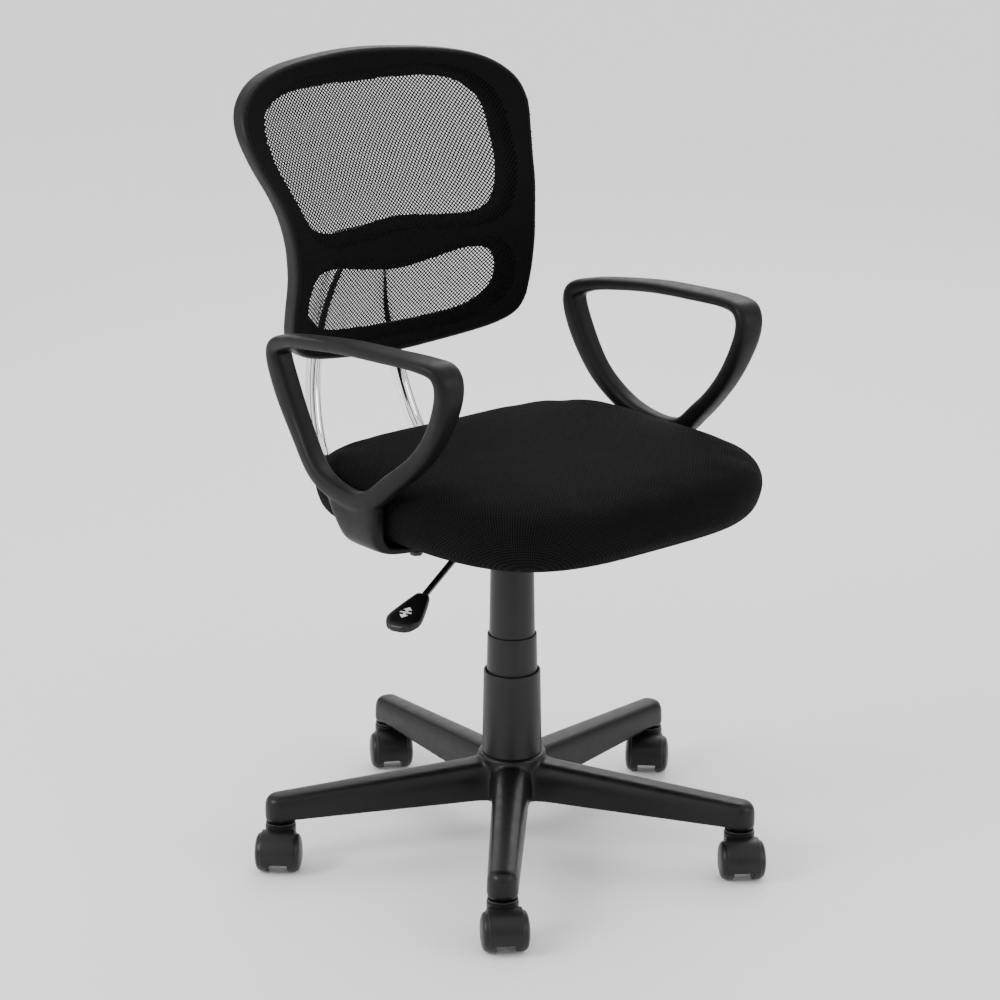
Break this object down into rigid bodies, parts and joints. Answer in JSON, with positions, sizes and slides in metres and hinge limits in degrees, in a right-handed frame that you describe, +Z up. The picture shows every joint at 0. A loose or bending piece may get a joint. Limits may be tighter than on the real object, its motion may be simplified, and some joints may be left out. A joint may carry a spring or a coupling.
{
  "type": "swivel office chair",
  "caption": "Height-adjustable swivel chair with a padded seat, loop arms, a curved mesh back on chromed bars, and a five-legged base on twin-wheel casters.",
  "frame": {"origin": "centre of the bounding box on the floor", "axes": "+Z up, -Y the way the seat faces, +X the sitter's left"},
  "size_m": [0.584, 0.5942, 0.891],
  "materials": {
    "black_nylon": "moulded black nylon, satin",
    "black_plastic": "moulded black polypropylene, satin",
    "wheel_plastic": "moulded black nylon, satin",
    "black_paint": "black powder coat",
    "chrome": "polished chrome plate",
    "steel": "plain bright steel",
    "bush_plastic": "natural acetal",
    "seat_fabric": "black spacer fabric",
    "back_net": "black knitted net",
    "under_cloth": "black non-woven cloth",
    "plywood": "bare plywood"
  },
  "bodies": {
    "base": {"star_base": "black_nylon", "gas_spring_tube": "black_paint", "guide_bush": "bush_plastic", "piston_rod": "steel", "thrust_bearing": "steel", "retaining_clip": "steel", "cover_lower_sleeve": "black_plastic"},
    "cover_middle": {"cover_middle_sleeve": "black_plastic"},
    "cylinder": {"gas_cylinder": "steel"},
    "button": {"release_button": "steel"},
    "lever": {"lever_rod": "black_paint", "lever_paddle": "black_plastic"},
    "seat": {"cover_top_sleeve": "black_plastic", "mechanism_socket": "black_paint", "mechanism_plate": "black_paint", "seat_support_plate": "black_paint", "seat_board": "plywood", "seat_cushion": "seat_fabric", "seat_bottom_cover": "under_cloth", "arm_right": "black_plastic", "arm_left": "black_plastic", "back_bar_right": "chrome", "back_bar_left": "chrome", "back_frame": "black_plastic", "back_mesh": "back_net", "back_screw_right": "steel", "back_screw_left": "steel", "mechanism_bolt_right_front": "steel", "mechanism_bolt_right_rear": "steel", "arm_bolt_right_front": "steel", "arm_bolt_right_rear": "steel", "mechanism_bolt_left_front": "steel", "mechanism_bolt_left_rear": "steel", "arm_bolt_left_front": "steel", "arm_bolt_left_rear": "steel"},
    "caster_1": {"caster_1_housing": "black_nylon", "caster_1_stem": "steel", "caster_1_axle": "steel"},
    "caster_1_left": {"caster_1_wheel_left": "wheel_plastic"},
    "caster_1_right": {"caster_1_wheel_right": "wheel_plastic"},
    "caster_2": {"caster_2_housing": "black_nylon", "caster_2_stem": "steel", "caster_2_axle": "steel"},
    "caster_2_left": {"caster_2_wheel_left": "wheel_plastic"},
    "caster_2_right": {"caster_2_wheel_right": "wheel_plastic"},
    "caster_3": {"caster_3_housing": "black_nylon", "caster_3_stem": "steel", "caster_3_axle": "steel"},
    "caster_3_left": {"caster_3_wheel_left": "wheel_plastic"},
    "caster_3_right": {"caster_3_wheel_right": "wheel_plastic"},
    "caster_4": {"caster_4_housing": "black_nylon", "caster_4_stem": "steel", "caster_4_axle": "steel"},
    "caster_4_left": {"caster_4_wheel_left": "wheel_plastic"},
    "caster_4_right": {"caster_4_wheel_right": "wheel_plastic"},
    "caster_5": {"caster_5_housing": "black_nylon", "caster_5_stem": "steel", "caster_5_axle": "steel"},
    "caster_5_left": {"caster_5_wheel_left": "wheel_plastic"},
    "caster_5_right": {"caster_5_wheel_right": "wheel_plastic"}
  },
  "joints": [
    {"name": "height_adjust", "type": "slide", "parent": "base", "child": "cylinder", "axis": [0, 0, 1], "range_m": [-0.05, 0.05]},
    {"name": "cover_middle_slide", "type": "slide", "parent": "base", "child": "cover_middle", "axis": [0, 0, 1], "range_m": [-0.025, 0.025]},
    {"name": "seat_swivel", "type": "hinge", "parent": "cylinder", "child": "seat", "pos_m": [0.005, -0.0085, 0], "axis": [0, 0, 1], "continuous": true},
    {"name": "lever_lift", "type": "hinge", "parent": "seat", "child": "lever", "pos_m": [-0.033, -0.0085, 0.3921], "axis": [0, 1, 0], "range_deg": [0, 5], "stiffness_Nm_per_rad": 1.5},
    {"name": "button_press", "type": "slide", "parent": "cylinder", "child": "button", "axis": [0, 0, -1], "range_m": [0, 0.0038], "stiffness_N_per_m": 400},
    {"name": "caster_1_swivel", "type": "hinge", "parent": "base", "child": "caster_1", "pos_m": [-0.24564, 0.10467, 0], "axis": [0, 0, 1], "continuous": true},
    {"name": "caster_1_roll_left", "type": "hinge", "parent": "caster_1", "child": "caster_1_left", "pos_m": [-0.25053, 0.07779, 0.0225], "axis": [0.7314, -0.682, 0], "continuous": true},
    {"name": "caster_1_roll_right", "type": "hinge", "parent": "caster_1", "child": "caster_1_right", "pos_m": [-0.27211, 0.09791, 0.0225], "axis": [0.7314, -0.682, 0], "continuous": true},
    {"name": "caster_2_swivel", "type": "hinge", "parent": "base", "child": "caster_2", "pos_m": [-0.18008, -0.2119, 0], "axis": [0, 0, 1], "continuous": true},
    {"name": "caster_2_roll_left", "type": "hinge", "parent": "caster_2", "child": "caster_2_left", "pos_m": [-0.18071, -0.23922, 0.0225], "axis": [0.829, -0.5592, 0], "continuous": true},
    {"name": "caster_2_roll_right", "type": "hinge", "parent": "caster_2", "child": "caster_2_right", "pos_m": [-0.20517, -0.22272, 0.0225], "axis": [0.829, -0.5592, 0], "continuous": true},
    {"name": "caster_3_swivel", "type": "hinge", "parent": "base", "child": "caster_3", "pos_m": [0.14125, -0.24737, 0], "axis": [0, 0, 1], "continuous": true},
    {"name": "caster_3_roll_left", "type": "hinge", "parent": "caster_3", "child": "caster_3_left", "pos_m": [0.13967, -0.27465, 0.0225], "axis": [0.809, -0.5878, 0], "continuous": true},
    {"name": "caster_3_roll_right", "type": "hinge", "parent": "caster_3", "child": "caster_3_right", "pos_m": [0.1158, -0.25731, 0.0225], "axis": [0.809, -0.5878, 0], "continuous": true},
    {"name": "caster_4_swivel", "type": "hinge", "parent": "base", "child": "caster_4", "pos_m": [0.27429, 0.04727, 0], "axis": [0, 0, 1], "continuous": true},
    {"name": "caster_4_roll_left", "type": "hinge", "parent": "caster_4", "child": "caster_4_left", "pos_m": [0.26845, 0.02057, 0.0225], "axis": [0.7071, -0.7071, 0], "continuous": true},
    {"name": "caster_4_roll_right", "type": "hinge", "parent": "caster_4", "child": "caster_4_right", "pos_m": [0.24759, 0.04143, 0.0225], "axis": [0.7071, -0.7071, 0], "continuous": true},
    {"name": "caster_5_swivel", "type": "hinge", "parent": "base", "child": "caster_5", "pos_m": [0.03518, 0.26484, 0], "axis": [0, 0, 1], "continuous": true},
    {"name": "caster_5_roll_left", "type": "hinge", "parent": "caster_5", "child": "caster_5_left", "pos_m": [0.0355, 0.23752, 0.0225], "axis": [0.848, -0.5299, 0], "continuous": true},
    {"name": "caster_5_roll_right", "type": "hinge", "parent": "caster_5", "child": "caster_5_right", "pos_m": [0.01048, 0.25315, 0.0225], "axis": [0.848, -0.5299, 0], "continuous": true}
  ],
  "couplings": [
    {"joint": "cover_middle_slide", "follows": "height_adjust", "ratio": 0.5},
    {"joint": "button_press", "follows": "lever_lift", "m_per_rad": 0.0418}
  ]
}
